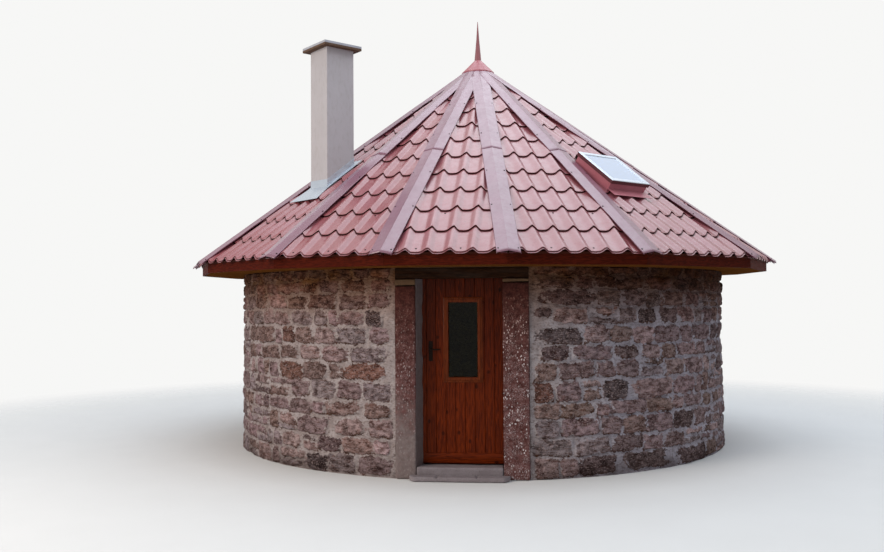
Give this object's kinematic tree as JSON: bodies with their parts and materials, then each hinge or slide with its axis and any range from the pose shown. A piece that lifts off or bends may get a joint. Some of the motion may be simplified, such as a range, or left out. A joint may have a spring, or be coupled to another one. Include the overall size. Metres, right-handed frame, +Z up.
{
  "type": "round stone hut",
  "caption": "Small round rubble-stone hut with a many-sided sheet-tile roof, hip caps, finial, chimney, roof window and an inward-opening plank door.",
  "frame": {"origin": "the hut's centre line at ground level, in the middle of the floor slab's underside", "axes": "+Z up, -Y towards the side that the door faces, +X to the right seen from there"},
  "size_m": [6.9149, 6.9405, 5.1798],
  "materials": {
    "rubble_wall": "rough random rubble in flush lime mortar",
    "red_sandstone": "dressed red sandstone with pale specks",
    "grey_stone": "worn stone",
    "lime_mortar": "rough mortar",
    "floor_screed": "trowelled screed",
    "chimney_render": "smooth render",
    "chimney_slab": "cast slab",
    "old_timber": "weathered",
    "roof_timber": "planed",
    "roof_deck": "planed",
    "frame_wood": "varnished",
    "door_wood": "varnished",
    "moulding_wood": "varnished",
    "door_glass": "clear",
    "hinge_steel": "brushed",
    "black_iron": "satin",
    "red_sheet_tiles": "satin coated sheet",
    "red_caps": "satin coated sheet",
    "finial_red": "satin",
    "fascia_stain": "stained",
    "soffit_varnish": "varnished",
    "grey_flashing": "dull",
    "skylight_red": "satin",
    "skylight_rim": "satin",
    "skylight_glass": "clear"
  },
  "bodies": {
    "hut": {"floor_slab": "floor_screed", "wall_plate": "roof_timber", "rafters": "roof_timber", "rafter_hub": "roof_timber", "roof_boards": "roof_deck", "jamb_left": "red_sandstone", "jamb_right": "red_sandstone", "jamb_pads": "lime_mortar", "lintel": "old_timber", "inner_lintel": "old_timber", "threshold": "grey_stone", "doorstep": "grey_stone", "door_frame": "frame_wood", "frame_hinges": "hinge_steel", "roof_tiles_left": "red_sheet_tiles", "roof_tiles_front": "red_sheet_tiles", "roof_tiles_right": "red_sheet_tiles", "roof_tiles_back": "red_sheet_tiles", "hip_caps": "red_caps", "ridge_collar": "red_caps", "finial": "finial_red", "fascia_boards": "fascia_stain", "soffit_boards": "soffit_varnish", "chimney_shaft": "chimney_render", "chimney_cap": "chimney_slab", "chimney_flashing": "grey_flashing", "skylight_frame": "skylight_red", "skylight_sash": "skylight_rim", "skylight_glass": "skylight_glass", "skylight_hinges": "black_iron", "wall_front_right": "rubble_wall", "wall_right_front": "rubble_wall", "wall_right_back": "rubble_wall", "wall_back_right": "rubble_wall", "wall_back_left": "rubble_wall", "wall_left_back": "rubble_wall", "wall_left_front": "rubble_wall", "wall_front_left": "rubble_wall", "wall_over_door": "rubble_wall"},
    "door": {"door_leaf": "door_wood", "door_rail": "door_wood", "door_window_frame": "moulding_wood", "door_glass": "door_glass", "door_handle": "black_iron", "door_hinges": "hinge_steel"}
  },
  "joints": [
    {"name": "door_hinge", "type": "hinge", "parent": "hut", "child": "door", "pos_m": [0.2332, -2.64381, 0.125], "axis": [0, 0, -1], "range_deg": [0, 95]}
  ]
}
